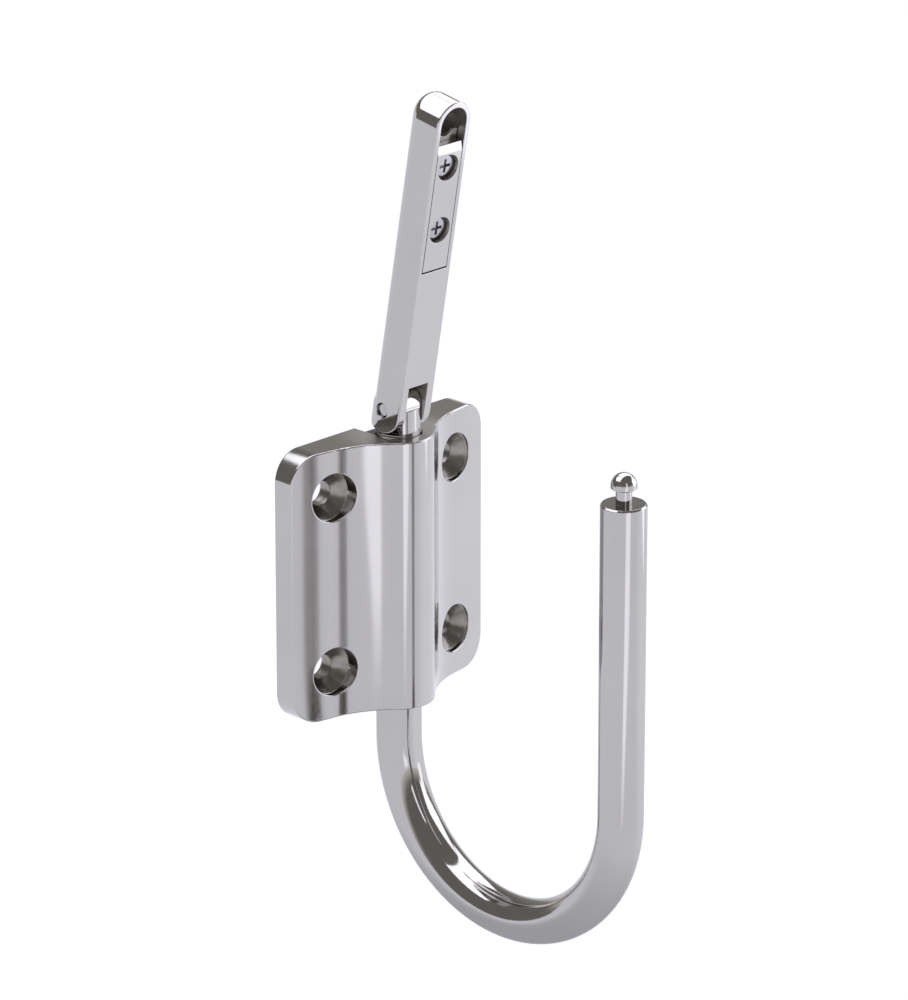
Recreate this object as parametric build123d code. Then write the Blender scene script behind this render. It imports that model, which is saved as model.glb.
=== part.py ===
from build123d import *
import math
import os

# Swivel wall hook.  Millimetres, +Z up, +X to the viewer's right, the wall is
# the plane Y = 0 and the object stands out toward -Y.
# Row origin: centre of the four-hole pattern, on the wall face of the plate.
# Every shape is first drawn in the stem frame (stem axis X = Y = 0, top face
# of the plate Z = 0) and then moved by stem_y and plate_top.

os.makedirs("parts", exist_ok=True)

# ---------------------------------------------------------------- dimensions
rod_d = 12.0              # hook bar diameter
bend_r = 40.0             # centreline radius of the U bend
bend_z = -83.8            # bend centre below the top of the plate
tip_z = 0.7               # end face of the free leg
stem_y = -9.9             # stem axis in front of the wall
plate_w = 69.5
plate_h = 73.8
plate_corner_r = 8.0
plate_top = plate_h / 2
wall_y = -stem_y          # wall face in the stem frame
boss_r = 9.5              # nose around the stem
boss_angle = 45.0         # where the nose runs into the hollow flank
flank_r = 28.8            # hollow flank
flank_end_angle = 8.4
flange_r = 96.0           # slightly crowned flange
rim_r = 0.35              # rounding of the front rim
hole_dx = 44.0
hole_dz = 48.0
hole_d = 6.6              # M6 clearance
csk_d = 12.9
csk_flat = 3.0            # where the countersink cone starts
csk_rim_r = 0.3           # rounding of the countersink rim
bore_d = 12.12            # running bore for the stem
channel_half = 6.1        # slot that opens the bore to the wall side
bore_chamfer = 0.4

shoulder_z = 0.85         # top of the full round of the stem
tongue_w = 6.6
tongue_r = 5.5            # top of the tongue, about the hinge pin
pin_z = 7.2
pin_d = 4.0
pin_hole_d = 4.1          # running hole in the tongue
pin_len = 10.4            # its ends stand back from the sides of the arm
pin_chamfer = 0.45

groove_z = -36.9          # groove that keeps the stem from sliding out
groove_h = 4.1
groove_r = 5.05

tilt = 10.0               # forward lean of the standing arm
arm_w = 11.9
arm_front = 6.2           # front face from the pin axis
arm_back = 5.15           # back of the arm from the pin axis
back_r = 4.4              # large rounding of the arm's back edges
ear_r = arm_front         # round foot about the pin, tangent to the front face
foot_r = 5.25             # rounding of the foot's back corners
arm_round_u = 82.0        # centre of the half-round end
slot_w = 7.0
slot_end = 8.35
edge_r = 0.45
pocket_w = 9.0
pocket_u0 = 41.0
pocket_shelf = 75.0       # step between the two pocket floors
floor_1 = 5.2             # floor under the spring
floor_2 = 8.6             # floor over the stud
block_w = 8.5
block_u0 = 41.35
block_u1 = 76.45
block_t = 4.6
nose_t = 2.5
nose_u = 73.9
ramp_u = 74.1
ramp_depth = 0.55
screw_u = (70.0, 52.6)
cbore_d = 7.1
cbore_depth = 2.8
clear_d = 3.2
m3_d = 3.0
m3_tap_end = 8.2

spring_t = 0.6
spring_w = 8.4
spring_u0 = 42.0
spring_u1 = 79.2          # end of the catch that hooks under the stud head
fork_gap = 4.7
stud_y = 2 * bend_r

neck_d = 4.2
neck_h = 3.95
head_d = 6.8
head_rim = 0.85
shank_d = 4.0
shank_l = 8.0

keeper_front = 3.2
keeper_back = 7.2
keeper_end_gap = 0.6
keeper_tab_half = 15.0
keeper_tab_h = 11.0
keeper_tab_y = 6.7
keeper_screw_x = 10.8
keeper_screw_l = 8.0


def save(shape, name):
    out = Pos(0, stem_y, plate_top) * shape
    solids = out.solids()
    out = solids[0] if len(solids) == 1 else Compound(children=list(solids))
    export_step(out, "parts/" + name + ".step")


def rod(radius, z0, z1, x=0.0, y=0.0):
    return Pos(x, y, (z0 + z1) / 2) * Cylinder(radius, z1 - z0)


def block(x0, x1, y0, y1, z0, z1):
    return Pos((x0 + x1) / 2, (y0 + y1) / 2, (z0 + z1) / 2) * Box(x1 - x0, y1 - y0, z1 - z0)


def along_x(radius, x0, x1, y, z):
    return Pos((x0 + x1) / 2, y, z) * Rot(0, 90, 0) * Cylinder(radius, x1 - x0)


def along_y(radius, x, y0, y1, z, radius_2=None):
    if radius_2 is None:
        return Pos(x, (y0 + y1) / 2, z) * Rot(90, 0, 0) * Cylinder(radius, y1 - y0)
    # Rot(90) turns the cone's bottom (radius) to +Y, its top to -Y
    return Pos(x, (y0 + y1) / 2, z) * Rot(90, 0, 0) * Cone(radius_2, radius, y1 - y0)


# ---------------------------------------------------------------- wall plate
phi = math.radians(boss_angle)
end_a = math.radians(flank_end_angle)
cx = (boss_r + flank_r) * math.sin(phi)
cy = -(boss_r + flank_r) * math.cos(phi)


def flank_point(a):
    return (cx - flank_r * math.sin(a), cy + flank_r * math.cos(a))


p_boss = flank_point(phi)
p_mid = flank_point((phi + end_a) / 2)
p_flange = flank_point(end_a)
dx = p_flange[0] - flange_r * math.sin(end_a)
dy = p_flange[1] + flange_r * math.cos(end_a)
half = plate_w / 2


def flange_point(x):
    return (x, dy - math.sqrt(flange_r ** 2 - (x - dx) ** 2))


p_crown = flange_point((p_flange[0] + half) / 2)
p_end = flange_point(half)


def mirror_x(p):
    return (-p[0], p[1])


with BuildSketch() as plan:
    with BuildLine():
        ThreePointArc(mirror_x(p_boss), (0, -boss_r), p_boss)
        ThreePointArc(p_boss, p_mid, p_flange)
        ThreePointArc(p_flange, p_crown, p_end)
        Line(p_end, (half, wall_y))
        Line((half, wall_y), (-half, wall_y))
        Line((-half, wall_y), mirror_x(p_end))
        ThreePointArc(mirror_x(p_end), mirror_x(p_crown), mirror_x(p_flange))
        ThreePointArc(mirror_x(p_flange), mirror_x(p_mid), mirror_x(p_boss))
    make_face()

plate_body = Pos(0, 0, -plate_h) * extrude(plan.sketch, plate_h)
with BuildSketch(Plane.XZ) as outline:
    with Locations((0, -plate_h / 2)):
        RectangleRounded(plate_w, plate_h, plate_corner_r)
outline_body = Pos(0, 20, 0) * extrude(outline.sketch, 50)
plate = plate_body & outline_body
# front rim: every edge between the front surface and the sides of the outline
rim = [e for e in plate.edges()
       if e.center().Y < wall_y - 1
       and (abs(e.center().Z) < 0.01 or abs(e.center().Z + plate_h) < 0.01
            or (abs(abs(e.center().X) - half) < 0.01 and e.center().Y < 5)
            or (abs(e.center().X) > half - plate_corner_r and e.center().Y < 5
                and not -plate_h + plate_corner_r + 1 < e.center().Z < -plate_corner_r - 1))
       and e.length > 1]
plate = fillet(rim, rim_r)
plate -= rod(bore_d / 2, -plate_h - 1, 1)
plate -= block(-channel_half, channel_half, 0, wall_y + 1, -plate_h - 1, 1)
plate -= Pos(0, 0, -bore_chamfer / 2) * Cone(bore_d / 2, bore_d / 2 + bore_chamfer, bore_chamfer)
plate -= Pos(0, 0, -plate_h + bore_chamfer / 2) * Cone(bore_d / 2 + bore_chamfer, bore_d / 2, bore_chamfer)
zc = -plate_h / 2
for sx in (-1, 1):
    for sz in (-1, 1):
        hx, hz = sx * hole_dx / 2, zc + sz * hole_dz / 2
        cone_end = csk_flat + (csk_d - hole_d) / 2
        plate -= along_y(hole_d / 2, hx, -5, wall_y + 1, hz)
        plate -= along_y(csk_d / 2, hx, -8, csk_flat, hz)
        plate -= along_y(csk_d / 2, hx, csk_flat, cone_end, hz, hole_d / 2)
csk_rim = [e for e in plate.edges()
           if e.center().Y < 4.5 and e.geom_type not in (GeomType.LINE, GeomType.CIRCLE)
           and all(abs(math.hypot(abs(e.position_at(t).X) - hole_dx / 2,
                                  abs(e.position_at(t).Z - zc) - hole_dz / 2) - csk_d / 2) < 0.6
                   for t in (0.1, 0.5, 0.9))]
plate = fillet(csk_rim, csk_rim_r)
# pocket for the keeper's cross tab and its two tapped holes
tab_gap = 0.1
plate -= block(-keeper_tab_half - tab_gap, keeper_tab_half + tab_gap, keeper_tab_y, wall_y + 1,
               zc - keeper_tab_h / 2 - tab_gap, zc + keeper_tab_h / 2 + tab_gap)
for sx in (-1, 1):
    plate -= along_y(m3_d / 2, sx * keeper_screw_x, 1.4, wall_y, zc)
save(plate, "wall_plate")

# --------------------------------------------------------------- stem keeper
keeper = block(-channel_half + 0.04, channel_half - 0.04, keeper_front, keeper_back,
               -plate_h + keeper_end_gap, -keeper_end_gap)
keeper -= rod(bore_d / 2 + 0.02, -plate_h, 1)
rib = block(-channel_half + 0.04, channel_half - 0.04, keeper_front, keeper_back,
            groove_z - groove_h / 2 + 0.1, groove_z + groove_h / 2 - 0.1)
rib -= rod(groove_r + 0.07, groove_z - 5, groove_z + 5)
keeper += rib
keeper += block(-keeper_tab_half, keeper_tab_half, keeper_tab_y, wall_y - 0.1,
                zc - keeper_tab_h / 2, zc + keeper_tab_h / 2)
screw_head_y = wall_y - 0.2
head_cone = 1.3
for sx in (-1, 1):
    keeper -= along_y(m3_d / 2, sx * keeper_screw_x, keeper_tab_y - 1, wall_y + 1, zc)
    keeper -= along_y(m3_d / 2, sx * keeper_screw_x, screw_head_y - head_cone, screw_head_y, zc,
                      m3_d / 2 + head_cone)
    keeper -= along_y(m3_d / 2 + head_cone, sx * keeper_screw_x, screw_head_y, wall_y + 1, zc)
save(keeper, "stem_keeper")

for sx, name in ((-1, "keeper_screw_left"), (1, "keeper_screw_right")):
    s = along_y(m3_d / 2, sx * keeper_screw_x, screw_head_y - keeper_screw_l, screw_head_y, zc)
    s += along_y(m3_d / 2, sx * keeper_screw_x, screw_head_y - head_cone, screw_head_y, zc,
                 m3_d / 2 + head_cone)
    for a in (0, 90):
        s -= Pos(sx * keeper_screw_x, screw_head_y - 0.5, zc) * Rot(0, a, 0) * Box(3.0, 1.01, 0.7)
    save(s, name)

# --------------------------------------------------------------- swivel hook
with BuildLine() as path:
    Line((0, 0, shoulder_z), (0, 0, bend_z))
    ThreePointArc((0, 0, bend_z), (0, -bend_r, bend_z - bend_r), (0, -2 * bend_r, bend_z))
    Line((0, -2 * bend_r, bend_z), (0, -2 * bend_r, tip_z))
with BuildSketch(Plane.XY.offset(shoulder_z)) as section:
    Circle(rod_d / 2)
hook = sweep(section.sketch, path.line)
tip_edges = [e for e in hook.edges() if e.geom_type == GeomType.CIRCLE and abs(e.center().Z - tip_z) < 0.01]
hook = chamfer(tip_edges, 0.4)
tongue = rod(rod_d / 2, shoulder_z - 0.5, pin_z + tongue_r + 1)
tongue &= block(-tongue_w / 2, tongue_w / 2, -7, 7, shoulder_z - 0.5, pin_z + tongue_r + 1)
cap = along_x(tongue_r, -4, 4, 0, pin_z) + block(-4, 4, -7, 7, shoulder_z - 0.5, pin_z)
tongue &= cap
hook += tongue
hook -= along_x(pin_hole_d / 2, -5, 5, 0, pin_z)
hook -= (rod(7, groove_z - groove_h / 2, groove_z + groove_h / 2)
         - rod(groove_r, groove_z - groove_h / 2, groove_z + groove_h / 2))
hook -= rod(shank_d / 2, tip_z - shank_l - 0.4, tip_z + 1, 0, -stud_y)
save(hook, "swivel_hook")

# ----------------------------------------------------------------- lock stud
stud = rod(shank_d / 2, tip_z - shank_l, tip_z + 0.1)
stud += rod(neck_d / 2, tip_z, tip_z + neck_h + 0.1)
head_z = tip_z + neck_h
head = rod(head_d / 2, head_z, head_z + head_rim)
head = chamfer(head.edges().filter_by(GeomType.CIRCLE).sort_by(Axis.Z)[0], 0.25)
dome = Pos(0, 0, head_z + head_rim) * Sphere(head_d / 2)
dome &= block(-5, 5, -5, 5, head_z + head_rim, head_z + head_rim + 5)
stud += head + dome
save(Pos(0, -stud_y, 0) * stud, "lock_stud")


# ----------------------------------------------------------------- latch arm
# Drawn upright on the pin axis: y = 0, z = 0 is the pin, the arm runs along +Z
# and its front face looks toward -Y; then leaned forward by tilt.
def lean(shape):
    return Pos(0, 0, pin_z) * Rot(tilt, 0, 0) * shape


half_w = arm_w / 2
top_u = arm_round_u + half_w
with BuildSketch(Plane.XZ) as front:
    with BuildLine():
        Line((-half_w, 0), (half_w, 0))
        Line((half_w, 0), (half_w, arm_round_u))
        ThreePointArc((half_w, arm_round_u), (0, top_u), (-half_w, arm_round_u))
        Line((-half_w, arm_round_u), (-half_w, 0))
    make_face()
# extruded from the back face toward the front face
bar = Pos(0, arm_back, 0) * extrude(front.sketch, arm_front + arm_back)
back_edges = [e for e in bar.edges() if abs(e.center().Y - arm_back) < 0.01 and e.center().Z > 1]
bar = fillet(back_edges, back_r)
front_edges = [e for e in bar.edges() if abs(e.center().Y + arm_front) < 0.01 and e.center().Z > 1]
bar = fillet(front_edges, edge_r)
# round foot about the pin: flat in front, largely rounded at its back, and
# running into the bar like a ball above the pin
with BuildSketch(Plane.XY.offset(-ear_r - 1)) as foot_plan:
    with BuildLine():
        Line((-half_w, -arm_front), (half_w, -arm_front))
        Line((half_w, -arm_front), (half_w, ear_r))
        Line((half_w, ear_r), (-half_w, ear_r))
        Line((-half_w, ear_r), (-half_w, -arm_front))
    make_face()
    fillet([v for v in foot_plan.vertices() if v.Y > 0], foot_r)
disc = along_x(ear_r, -half_w, half_w, 0, 0)
ball = fillet(disc.edges().filter_by(GeomType.CIRCLE), foot_r)
disc = fillet(disc.edges().filter_by(GeomType.CIRCLE), edge_r)
foot = extrude(foot_plan.sketch, 2 * ear_r + 2) & disc
foot -= block(-10, 10, 0, 10, 0, 10)
foot += ball & block(-10, 10, 0, 10, 0, 10)
arm = bar + foot
# fork at the foot
arm -= block(-slot_w / 2, slot_w / 2, -12, 12, -12, slot_end)
arm -= along_x(pin_d / 2, -10, 10, 0, 0)
for sx in (-1, 1):
    # small lead-in at the outer ends of the pin hole
    arm -= Pos(sx * (half_w - 0.075), 0, 0) * Rot(0, 90 * sx, 0) * Cone(pin_d / 2, pin_d / 2 + 0.15, 0.15)


def depth(d):
    return -arm_front + d


def slot_shape(half_width, u0, u1_centre, d0, d1):
    s = block(-half_width, half_width, depth(d0), depth(d1), u0, u1_centre)
    s += Pos(0, 0, u1_centre) * along_y(half_width, 0, depth(d0), depth(d1), 0)
    return s


pocket = slot_shape(pocket_w / 2, pocket_shelf, arm_round_u, -1, floor_2)
pocket += block(-pocket_w / 2, pocket_w / 2, depth(-1), depth(floor_1), pocket_u0, pocket_shelf)
arm -= pocket
for u in screw_u:
    arm -= along_y(m3_d / 2, 0, depth(floor_1 - 1), depth(m3_tap_end), u)
save(lean(arm), "latch_arm")

# ----------------------------------------------------------------- hinge pin
pin = along_x(pin_d / 2, -pin_len / 2, pin_len / 2, 0, 0)
pin = chamfer(pin.edges().filter_by(GeomType.CIRCLE), pin_chamfer)
save(lean(pin), "hinge_pin")

# --------------------------------------------------------------- latch block
blk = block(-block_w / 2, block_w / 2, depth(0), depth(block_t), block_u0, nose_u)
blk += block(-block_w / 2, block_w / 2, depth(0), depth(nose_t), nose_u, block_u1)
ramp_angle = math.degrees(math.atan2(ramp_depth, block_u1 - ramp_u))
blk -= Pos(0, depth(0), ramp_u) * Rot(-ramp_angle, 0, 0) * block(-10, 10, -3, 0, 0, 8)
blk = chamfer([e for e in blk.edges() if abs(e.center().Z - block_u0) < 0.01
               and abs(e.center().Y - depth(0)) < 0.01], 0.15)
for u in screw_u:
    blk -= along_y(cbore_d / 2, 0, depth(-1), depth(cbore_depth), u)
    blk -= along_y(clear_d / 2, 0, depth(-1), depth(block_t + 1), u)
save(lean(blk), "latch_block")

# --------------------------------------------------------------- spring clip
fork_d0 = nose_t + 0.1
fork_d1 = fork_d0 + spring_t
joggle_u0 = nose_u + 0.15
joggle_u1 = nose_u + 1.7
with BuildSketch(Plane.YZ) as strip:
    with BuildLine():
        Polyline((depth(block_t), spring_u0), (depth(block_t), joggle_u0),
                 (depth(fork_d0), joggle_u1), (depth(fork_d0), spring_u1),
                 (depth(fork_d1), spring_u1), (depth(fork_d1), joggle_u1 + 0.2),
                 (depth(floor_1), joggle_u0 + 0.2), (depth(floor_1), spring_u0),
                 (depth(block_t), spring_u0))
    make_face()
clip = Pos(-10, 0, 0) * extrude(strip.sketch, 20)
clip &= slot_shape(spring_w / 2, 20, arm_round_u, 0, 9)
clip -= along_y(fork_gap / 2, 0, depth(-1), depth(9), stud_y)
for u in screw_u:
    clip -= along_y(clear_d / 2, 0, depth(-1), depth(9), u)
save(lean(clip), "spring_clip")

# -------------------------------------------------------------- latch screws
screw_head_d = 6.0
screw_head_h = 1.6
for u, name in zip(screw_u, ("latch_screw_upper", "latch_screw_lower")):
    top = cbore_depth - screw_head_h
    s = along_y(screw_head_d / 2, 0, depth(top), depth(cbore_depth), u)
    s = fillet(s.edges().filter_by(GeomType.CIRCLE).sort_by(Axis.Y)[0], 0.4)
    s += along_y(m3_d / 2, 0, depth(cbore_depth - 0.2), depth(cbore_depth + 5.0), u)
    for a in (0, 90):
        s -= Pos(0, depth(top + 0.5), u) * Rot(0, a, 0) * Box(3.7, 1.01, 0.8)
    save(lean(s), name)
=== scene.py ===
import math

import bpy
from mathutils import Matrix, Vector

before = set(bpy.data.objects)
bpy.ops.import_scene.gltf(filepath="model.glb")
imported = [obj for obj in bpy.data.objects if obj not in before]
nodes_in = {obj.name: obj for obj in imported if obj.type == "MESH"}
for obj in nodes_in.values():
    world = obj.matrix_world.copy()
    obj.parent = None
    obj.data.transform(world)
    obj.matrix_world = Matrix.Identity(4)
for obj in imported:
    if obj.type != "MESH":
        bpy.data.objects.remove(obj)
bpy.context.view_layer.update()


scene = bpy.context.scene

# The stem axis and the top of the plate, in metres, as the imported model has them.
STEM_Y = -0.0099
PLATE_TOP = 0.0369
# hole axes of the plate, on both sides of its middle
HOLE_X = 0.022
HOLE_Z = 0.024
# hinge pin above the plate's top, and the forward lean of the arm
PIN_Z = 0.0072
LEAN = math.radians(10.0)


def at(x, y, z):
    """A point given in millimetres from the stem axis and the plate's top."""
    return Vector((x / 1000, y / 1000 + STEM_Y, z / 1000 + PLATE_TOP))


# ------------------------------------------------------------------ materials
class Tree:
    """Short calls for building a node tree."""

    def __init__(self, tree):
        self.t = tree
        self.t.nodes.clear()

    def new(self, kind, **props):
        n = self.t.nodes.new(kind)
        for k, v in props.items():
            setattr(n, k, v)
        return n

    def link(self, a, b):
        self.t.links.new(a, b)

    def put(self, socket, value):
        if isinstance(value, bpy.types.NodeSocket):
            self.link(value, socket)
        else:
            socket.default_value = value

    def math(self, op, a, b=0.0, c=None, clamp=False):
        n = self.new("ShaderNodeMath", operation=op, use_clamp=clamp)
        self.put(n.inputs[0], a)
        self.put(n.inputs[1], b)
        if c is not None:
            self.put(n.inputs[2], c)
        return n.outputs[0]

    def noise(self, vector, scale, detail=3.0, rough=0.5):
        n = self.new("ShaderNodeTexNoise")
        self.link(vector, n.inputs["Vector"])
        n.inputs["Scale"].default_value = scale
        n.inputs["Detail"].default_value = detail
        n.inputs["Roughness"].default_value = rough
        return n.outputs["Fac"]

    def ramp(self, value, lo, hi, out_lo, out_hi):
        n = self.new("ShaderNodeMapRange", interpolation_type="SMOOTHSTEP")
        self.put(n.inputs["Value"], value)
        n.inputs["From Min"].default_value = lo
        n.inputs["From Max"].default_value = hi
        n.inputs["To Min"].default_value = out_lo
        n.inputs["To Max"].default_value = out_hi
        return n.outputs["Result"]

    def mix(self, fac, a, b):
        n = self.new("ShaderNodeMix", data_type="RGBA")
        self.put(n.inputs[0], fac)
        n.inputs[6].default_value = (*a, 1)
        n.inputs[7].default_value = (*b, 1)
        return n.outputs[2]


def material(name):
    m = bpy.data.materials.new(name)
    m.use_nodes = True
    return m, Tree(m.node_tree)


def hole_mask(t, coord):
    """1 inside the four countersinks, 0 outside them, and the distance from the nearest hole axis in mm."""
    n = t.new("ShaderNodeSeparateXYZ")
    t.link(coord, n.inputs[0])
    dx = t.math("SUBTRACT", t.math("ABSOLUTE", n.outputs[0]), HOLE_X)
    dz = t.math("SUBTRACT", t.math("ABSOLUTE", n.outputs[2]), HOLE_Z)
    d = t.math("SQRT", t.math("ADD", t.math("MULTIPLY", dx, dx), t.math("MULTIPLY", dz, dz)))
    d = t.math("MULTIPLY", d, 1000.0)
    # not on the flat wall face
    return t.math("MULTIPLY", t.ramp(d, 6.30, 6.44, 1.0, 0.0), t.math("LESS_THAN", n.outputs[1], -0.0005)), d


def arm_axes(t, coord):
    """Across, along and through the leaning arm, in mm from the hinge pin."""
    n = t.new("ShaderNodeSeparateXYZ")
    t.link(coord, n.inputs[0])
    y = t.math("SUBTRACT", n.outputs[1], STEM_Y)
    z = t.math("SUBTRACT", n.outputs[2], PLATE_TOP + PIN_Z)
    x = t.math("MULTIPLY", t.math("ABSOLUTE", n.outputs[0]), 1000.0)
    u = t.math("SUBTRACT", t.math("MULTIPLY", z, 1000 * math.cos(LEAN)), t.math("MULTIPLY", y, 1000 * math.sin(LEAN)))
    v = t.math("ADD", t.math("MULTIPLY", y, 1000 * math.cos(LEAN)), t.math("MULTIPLY", z, 1000 * math.sin(LEAN)))
    return x, u, v


def around(t, x, u, centre_u, radius):
    du = t.math("SUBTRACT", u, centre_u)
    return t.math("LESS_THAN", t.math("ADD", t.math("MULTIPLY", x, x), t.math("MULTIPLY", du, du)), radius * radius)


def fork_mask(t, coord):
    """1 inside the fork slot and the long pocket of the arm, 0 outside them."""
    x, u, v = arm_axes(t, coord)
    fork = t.math("MULTIPLY", t.math("LESS_THAN", x, 3.53), t.math("LESS_THAN", u, 8.42))
    long_part = t.math("MULTIPLY", t.math("LESS_THAN", x, 4.53),
                       t.math("MULTIPLY", t.math("GREATER_THAN", u, 40.9), t.math("LESS_THAN", u, 82.0)))
    pocket = t.math("MAXIMUM", long_part, around(t, x, u, 82.0, 4.53))
    pocket = t.math("MULTIPLY", pocket, t.math("MULTIPLY", t.math("GREATER_THAN", v, -5.95), t.math("LESS_THAN", v, 2.6)))
    return t.math("MAXIMUM", fork, pocket)


def bore_mask(t, coord):
    """1 inside the two screw bores of the latch block."""
    x, u, v = arm_axes(t, coord)
    bores = t.math("MAXIMUM", around(t, x, u, 70.0, 3.58), around(t, x, u, 52.6, 3.58))
    return t.math("MULTIPLY", bores, t.math("GREATER_THAN", v, -6.1))


def ring_mask(t, coord):
    """1 on the plate's top close to the stem, softly falling to 0 farther out."""
    n = t.new("ShaderNodeSeparateXYZ")
    t.link(coord, n.inputs[0])
    y = t.math("SUBTRACT", n.outputs[1], STEM_Y)
    d = t.math("SQRT", t.math("ADD", t.math("MULTIPLY", n.outputs[0], n.outputs[0]), t.math("MULTIPLY", y, y)))
    return t.math("MULTIPLY", t.ramp(d, 0.010, 0.020, 1.0, 0.0),
                  t.math("GREATER_THAN", n.outputs[2], PLATE_TOP - 0.0001))


def metal(name, dark, light, rough_lo, rough_hi, bevel_mm, stretch=(1, 1, 1), wave_mm=0.0, grain_mm=0.0,
          grain_scale=900.0, turned_and_painted_shade=0.0, slot=0.0, slot_mask=fork_mask, graze=0.72):
    m, t = material(name)
    out = t.new("ShaderNodeOutputMaterial")
    bsdf = t.new("ShaderNodeBsdfPrincipled")
    t.link(bsdf.outputs[0], out.inputs[0])
    coord = t.new("ShaderNodeTexCoord").outputs["Object"]
    mapping = t.new("ShaderNodeMapping")
    mapping.inputs["Scale"].default_value = stretch
    t.link(coord, mapping.inputs["Vector"])
    v = mapping.outputs[0]
    cloud = t.noise(v, 55.0, 4.0)
    fine = t.noise(v, 420.0, 5.0, 0.6)
    t.link(t.mix(t.ramp(cloud, 0.3, 0.7, 0.0, 1.0), dark, light), bsdf.inputs["Base Color"])
    worn = t.math("MULTIPLY_ADD", fine, 0.5, t.math("MULTIPLY", cloud, 0.5))
    rough = t.ramp(worn, 0.3, 0.7, rough_lo, rough_hi)
    if turned_and_painted_shade:
        inside, d = hole_mask(t, coord)
        rough = t.math("MULTIPLY_ADD", inside, turned_and_painted_shade, rough)
        # the countersinks are a rougher, unpolished steel, and their base colour is painted much darker and warmer as
        # painted shade
        polish = bsdf.inputs["Base Color"].links[0].from_socket
        painted_shade_light_mix = t.new("ShaderNodeMix", data_type="RGBA")
        t.link(inside, painted_shade_light_mix.inputs[0])
        t.link(polish, painted_shade_light_mix.inputs[6])
        t.link(t.mix(t.ramp(t.noise(coord, 300.0, 3.0), 0.3, 0.7, 0.0, 1.0), (0.24, 0.228, 0.205), (0.31, 0.295, 0.265)),
               painted_shade_light_mix.inputs[7])
        t.link(painted_shade_light_mix.outputs[2], bsdf.inputs["Base Color"])
        rough = t.math("MULTIPLY_ADD", ring_mask(t, coord), 0.18, rough)
    if slot:
        # milled recesses are duller, and their base colour is painted lighter: painted light in place of the light the
        # recesses lack
        milled_dull_and_painted_light = slot_mask(t, coord)
        rough = t.math("MULTIPLY_ADD", milled_dull_and_painted_light, slot, rough)
        polish = bsdf.inputs["Base Color"].links[0].from_socket
        painted_shade_light_mix = t.new("ShaderNodeMix", data_type="RGBA")
        t.link(milled_dull_and_painted_light, painted_shade_light_mix.inputs[0])
        t.link(polish, painted_shade_light_mix.inputs[6])
        t.link(t.mix(t.ramp(t.noise(coord, 300.0, 3.0), 0.3, 0.7, 0.0, 1.0), (0.56, 0.54, 0.50), (0.64, 0.62, 0.58)),
               painted_shade_light_mix.inputs[7])
        t.link(painted_shade_light_mix.outputs[2], bsdf.inputs["Base Color"])
    t.link(rough, bsdf.inputs["Roughness"])
    bsdf.inputs["Metallic"].default_value = 1.0
    # brightness at a grazing view
    bsdf.inputs["Specular Tint"].default_value = (graze, graze, graze, 1)
    soft = t.new("ShaderNodeBevel", samples=8)
    soft.inputs["Radius"].default_value = bevel_mm / 1000
    normal = soft.outputs[0]
    if wave_mm:
        b = t.new("ShaderNodeBump")
        b.inputs["Strength"].default_value = 1.0
        b.inputs["Distance"].default_value = wave_mm / 1000
        t.link(t.noise(v, 28.0, 1.0), b.inputs["Height"])
        t.link(normal, b.inputs["Normal"])
        normal = b.outputs[0]
    if grain_mm:
        b = t.new("ShaderNodeBump")
        b.inputs["Strength"].default_value = 1.0
        b.inputs["Distance"].default_value = grain_mm / 1000
        t.link(t.noise(v, grain_scale, 3.0, 0.6), b.inputs["Height"])
        t.link(normal, b.inputs["Normal"])
        normal = b.outputs[0]
    if turned_and_painted_shade:
        # soft waviness left by the turning tool
        b = t.new("ShaderNodeBump")
        b.inputs["Distance"].default_value = 0.00025
        t.link(t.math("MULTIPLY", inside, t.noise(coord, 210.0, 2.0)), b.inputs["Height"])
        t.link(normal, b.inputs["Normal"])
        normal = b.outputs[0]
    t.link(normal, bsdf.inputs["Normal"])
    return m


def plastic(name, dark, light, rough):
    m, t = material(name)
    out = t.new("ShaderNodeOutputMaterial")
    bsdf = t.new("ShaderNodeBsdfPrincipled")
    t.link(bsdf.outputs[0], out.inputs[0])
    coord = t.new("ShaderNodeTexCoord").outputs["Object"]
    cloud = t.noise(coord, 160.0, 4.0)
    t.link(t.mix(cloud, dark, light), bsdf.inputs["Base Color"])
    t.link(t.ramp(t.noise(coord, 700.0, 3.0), 0.3, 0.7, rough, rough + 0.12), bsdf.inputs["Roughness"])
    b = t.new("ShaderNodeBump")
    b.inputs["Distance"].default_value = 0.00002
    t.link(t.noise(coord, 1500.0, 2.0), b.inputs["Height"])
    t.link(b.outputs[0], bsdf.inputs["Normal"])
    return m


SHADE = (0.458, 0.444, 0.432)
SHINE = (0.474, 0.460, 0.448)
looks = {
    "wall_plate": metal("plate_polish", SHADE, SHINE, 0.09, 0.12, 0.3, turned_and_painted_shade=0.16, graze=1.0),
    "swivel_hook": metal("bar_polish", SHADE, SHINE, 0.07, 0.10, 0.25, graze=0.80),
    "latch_arm": metal("arm_polish", SHADE, SHINE, 0.06, 0.09, 0.25, slot=0.32, graze=0.94),
    "latch_block": metal("block_polish", (0.464, 0.450, 0.438), (0.480, 0.466, 0.454), 0.06, 0.10, 0.12, slot=0.30, slot_mask=bore_mask),
    "lock_stud": metal("stud_polish", SHADE, SHINE, 0.05, 0.08, 0.12),
    "hinge_pin": metal("pin_steel", (0.40, 0.39, 0.40), (0.5, 0.49, 0.5), 0.12, 0.25, 0.1, grain_mm=0.004),
    "latch_screw_upper": metal("screw_steel", (0.36, 0.355, 0.36), (0.46, 0.455, 0.46), 0.10, 0.22, 0.12, grain_mm=0.003),
    "spring_clip": metal("spring_strip", (0.30, 0.29, 0.28), (0.40, 0.39, 0.38), 0.12, 0.25, 0.08, (1, 1, 0.1), grain_mm=0.003),
    "stem_keeper": plastic("keeper_black", (0.012, 0.012, 0.012), (0.03, 0.03, 0.03), 0.38),
}
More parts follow.
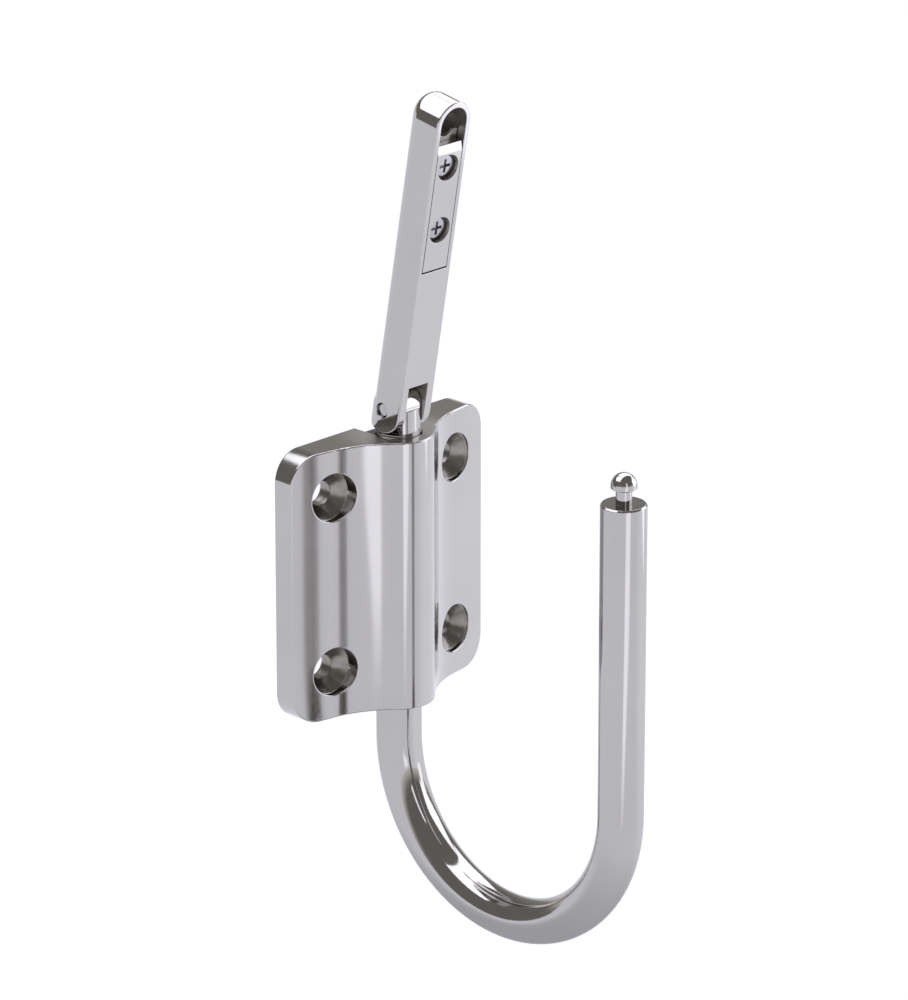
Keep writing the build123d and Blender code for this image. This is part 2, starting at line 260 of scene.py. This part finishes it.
for twin, source in (("latch_screw_lower", "latch_screw_upper"), ("keeper_screw_left", "latch_screw_upper"),
                     ("keeper_screw_right", "latch_screw_upper")):
    looks[twin] = looks[source]
for name, obj in nodes_in.items():
    for s in obj.material_slots:
        s.material = looks[name]

# --------------------------------------------------------------------- floor
FLOOR_Z = -0.0965


def glow(name, strength, tint=(1.0, 1.01, 1.10)):
    m, t = material(name)
    out = t.new("ShaderNodeOutputMaterial")
    e = t.new("ShaderNodeEmission")
    e.inputs["Color"].default_value = (*tint, 1)
    e.inputs["Strength"].default_value = strength
    t.link(e.outputs[0], out.inputs[0])
    return m


def card(name, corners, mat):
    me = bpy.data.meshes.new(name)
    me.from_pydata([tuple(c) for c in corners], [], [tuple(range(len(corners)))])
    me.materials.append(mat)
    o = bpy.data.objects.new(name, me)
    scene.collection.objects.link(o)
    return o


big = 14.0
A = math.radians(45.334)
TO_CAM = Vector((-math.sin(A), -math.cos(A), 0))
RIGHT = Vector((math.cos(A), -math.sin(A), 0))
centre = at(0, -80, 0)
stem = at(0, 0, 0)
POOL_AZ = 16.0


def toward(azimuth):
    """Level direction at that azimuth from the camera's side, turning to the picture's right."""
    a = math.radians(azimuth)
    return TO_CAM * math.cos(a) + RIGHT * math.sin(a)


def pale_floor():
    """Evenly lit paper, a little brighter to the right, with a soft pool of light in front of the object."""
    m, t = material("pale_floor")
    out = t.new("ShaderNodeOutputMaterial")
    e = t.new("ShaderNodeEmission")
    e.inputs["Color"].default_value = (1.0, 1.01, 1.10, 1)
    pos = t.new("ShaderNodeNewGeometry").outputs["Position"]
    off = t.new("ShaderNodeVectorMath", operation="SUBTRACT")
    t.link(pos, off.inputs[0])
    off.inputs[1].default_value = (stem.x, stem.y, 0)
    flat = t.new("ShaderNodeVectorMath", operation="MULTIPLY")
    t.link(off.outputs[0], flat.inputs[0])
    flat.inputs[1].default_value = (1, 1, 0)
    dist = t.new("ShaderNodeVectorMath", operation="LENGTH")
    t.link(flat.outputs[0], dist.inputs[0])
    unit = t.new("ShaderNodeVectorMath", operation="NORMALIZE")
    t.link(flat.outputs[0], unit.inputs[0])

    def along(azimuth):
        n = t.new("ShaderNodeVectorMath", operation="DOT_PRODUCT")
        t.link(unit.outputs[0], n.inputs[0])
        n.inputs[1].default_value = toward(azimuth)
        return n.outputs["Value"]

    away = dist.outputs["Value"]
    # azimuth about the stem, in degrees from the camera's side
    azimuth = t.math("MULTIPLY", t.math("ARCTAN2", along(90), along(0)), 180 / math.pi)
    # the pool begins at a straight side and opens to the right with the distance
    low_side = t.ramp(azimuth, POOL_AZ - 0.8, POOL_AZ + 0.8, 0.0, 1.0)
    high_side = t.ramp(t.math("SUBTRACT", t.ramp(away, 0.20, 0.38, 23.0, 33.5), azimuth), -3.0, 2.0, 0.0, 1.0)
    deep = t.ramp(away, 0.15, 0.27, 0.0, 1.0)
    far = t.ramp(away, 0.9, 1.4, 1.0, 0.0)
    pool = t.math("MULTIPLY", t.math("MULTIPLY", low_side, high_side), t.math("MULTIPLY", deep, far))
    paper = t.ramp(t.noise(pos, 9.0, 4.0), 0.3, 0.7, 1.0, 1.02)
    paper = t.math("MULTIPLY_ADD", t.ramp(along(112), 0.55, 0.95, 0.0, 1.0), 0.17, paper)
    lit = t.math("MULTIPLY_ADD", pool, 0.60, paper)
    # soft shade under the bend, only in the metal's reflections
    under = t.new("ShaderNodeVectorMath", operation="DISTANCE")
    t.link(pos, under.inputs[0])
    under.inputs[1].default_value = (0, at(0, -40, 0).y, FLOOR_Z)
    lit = t.math("MULTIPLY", lit, t.ramp(under.outputs["Value"], 0.015, 0.10, 0.67, 1.0))
    seen = t.new("ShaderNodeLightPath").outputs["Is Camera Ray"]
    t.link(t.math("MAXIMUM", lit, seen), e.inputs["Strength"])
    t.link(e.outputs[0], out.inputs[0])
    return m


floor = card("floor", [(-big, -big, FLOOR_Z), (big, -big, FLOOR_Z), (big, big, FLOOR_Z), (-big, big, FLOOR_Z)],
             pale_floor())

# ---------------------------------------------------------------- soft lights
def unseen(o):
    o.visible_camera = False
    o.visible_shadow = False
    return o


# large overhead softbox over the wall side
unseen(card("softbox_top", [at(-262, -64, 235), at(616, -64, 235), at(616, 236, 235), at(-262, 236, 235)],
            glow("softbox_top_glow", 2.3)))
# its frame shows as a thin dark line in the end of the arm
unseen(card("softbox_frame", [at(8.2, -60, 110), at(8.9, -60, 110), at(8.9, 40, 110), at(8.2, 40, 110)],
            glow("softbox_frame_dark", 0.05)))
# softbox at the right that stands on the floor
unseen(card("softbox_right", [at(290, -449, -31), at(290, -62, -31), at(290, -62, 235), at(290, -449, 235)],
            glow("softbox_right_glow", 2.2)))
unseen(card("softbox_right_foot", [at(290, -322, -132), at(290, -185, -132), at(290, -185, -31), at(290, -322, -31)],
            glow("softbox_right_foot_glow", 1.95)))
# the paper ends nearer at the left: a dim wall stands there on the floor
wall_a, wall_b = at(0, 0, 0) + toward(-68) * 0.95, at(0, 0, 0) + toward(-108) * 0.95
unseen(card("dim_wall", [(wall_a.x, wall_a.y, FLOOR_Z), (wall_b.x, wall_b.y, FLOOR_Z),
                         (wall_b.x, wall_b.y, FLOOR_Z + 0.32), (wall_a.x, wall_a.y, FLOOR_Z + 0.32)],
            glow("dim_wall_glow", 0.215, (0.98, 0.955, 0.90))))
# narrow tall strip in front


def strip(name, az0, az1, dist, z0, z1, strength):
    a, b = centre + toward(az0) * dist, centre + toward(az1) * dist
    lo, hi = at(0, 0, z0).z, at(0, 0, z1).z
    return unseen(card(name, [(a.x, a.y, lo), (b.x, b.y, lo), (b.x, b.y, hi), (a.x, a.y, hi)],
                       glow(name + "_glow", strength)))


strip("strip_tall", 18, 28, 0.26, -23, 182, 1.6)

# plain soft key light
key = bpy.data.lights.new("key", "AREA")
key.shape = "RECTANGLE"
key.size, key.size_y = 0.8, 0.8
key.energy = 6.0
key_obj = bpy.data.objects.new("key", key)
key_obj.location = at(-300, -700, 700)
key_obj.rotation_mode = "QUATERNION"
key_obj.rotation_quaternion = (at(0, -40, -40) - key_obj.location).to_track_quat("-Z", "Y")
key_obj.visible_glossy = False
key_obj.visible_camera = False
scene.collection.objects.link(key_obj)

# ---------------------------------------------------------------------- world
# White to the camera; in the metal a dim studio above the horizon.
world = bpy.data.worlds.new("studio")
world.use_nodes = True
scene.world = world
w = Tree(world.node_tree)
w_out = w.new("ShaderNodeOutputWorld")
dirn = w.new("ShaderNodeTexCoord").outputs["Generated"]
sep = w.new("ShaderNodeSeparateXYZ")
w.link(dirn, sep.inputs[0])
up = sep.outputs[2]
# a little lighter low down behind the object
back = w.new("ShaderNodeVectorMath", operation="DOT_PRODUCT")
w.link(dirn, back.inputs[0])
back.inputs[1].default_value = -TO_CAM
behind = w.ramp(back.outputs["Value"], 0.45, 1.0, 0.0, 0.175)
low = w.ramp(up, 0.2, 0.65, 1.0, 0.0)
level = w.math("ADD", w.math("MULTIPLY", behind, low), 0.215)
# the paper runs softly into the dim studio at the horizon
left = w.new("ShaderNodeVectorMath", operation="DOT_PRODUCT")
w.link(dirn, left.inputs[0])
left.inputs[1].default_value = toward(-88)
glow_back = w.math("MULTIPLY", w.ramp(up, -0.01, 0.20, 0.60, 0.0), w.ramp(left.outputs["Value"], 0.75, 0.95, 1.0, 0.0))
level = w.math("ADD", level, glow_back)
dim = w.new("ShaderNodeBackground")
dim.inputs["Color"].default_value = (0.98, 0.955, 0.90, 1)
w.link(level, dim.inputs["Strength"])
white = w.new("ShaderNodeBackground")
white.inputs["Color"].default_value = (1, 1, 1, 1)
white.inputs["Strength"].default_value = 1.0
ray = w.new("ShaderNodeLightPath").outputs["Is Camera Ray"]
pick = w.new("ShaderNodeMixShader")
w.link(ray, pick.inputs[0])
w.link(dim.outputs[0], pick.inputs[1])
w.link(white.outputs[0], pick.inputs[2])
w.link(pick.outputs[0], w_out.inputs[0])

scene.view_settings.view_transform = "Standard"
scene.view_settings.look = "None"
scene.view_settings.exposure = 0.0
scene.view_settings.gamma = 1.0

# --------------------------------------------------------------------- camera
E = math.radians(19.989)
DIST = 1589.13
right = Vector((math.cos(A), -math.sin(A), 0))
fwd = Vector((math.sin(A) * math.cos(E), math.cos(A) * math.cos(E), -math.sin(E)))
up_v = right.cross(fwd)
x_off, y_off = (398.084 - 454) / 3.868, (500 - 431.5) / 3.868
place = -x_off * right - y_off * up_v - DIST * fwd
cam = bpy.data.cameras.new("camera")
cam.sensor_fit = "AUTO"
cam.sensor_width = 36.0
cam.lens = 3.868 * DIST / 1000 * 36.0
cam.clip_start, cam.clip_end = 0.05, 60.0
cam_obj = bpy.data.objects.new("camera", cam)
scene.collection.objects.link(cam_obj)
rot = Matrix((right, up_v, -fwd)).transposed()
cam_obj.matrix_world = Matrix.Translation(at(*place)) @ rot.to_4x4()
scene.camera = cam_obj
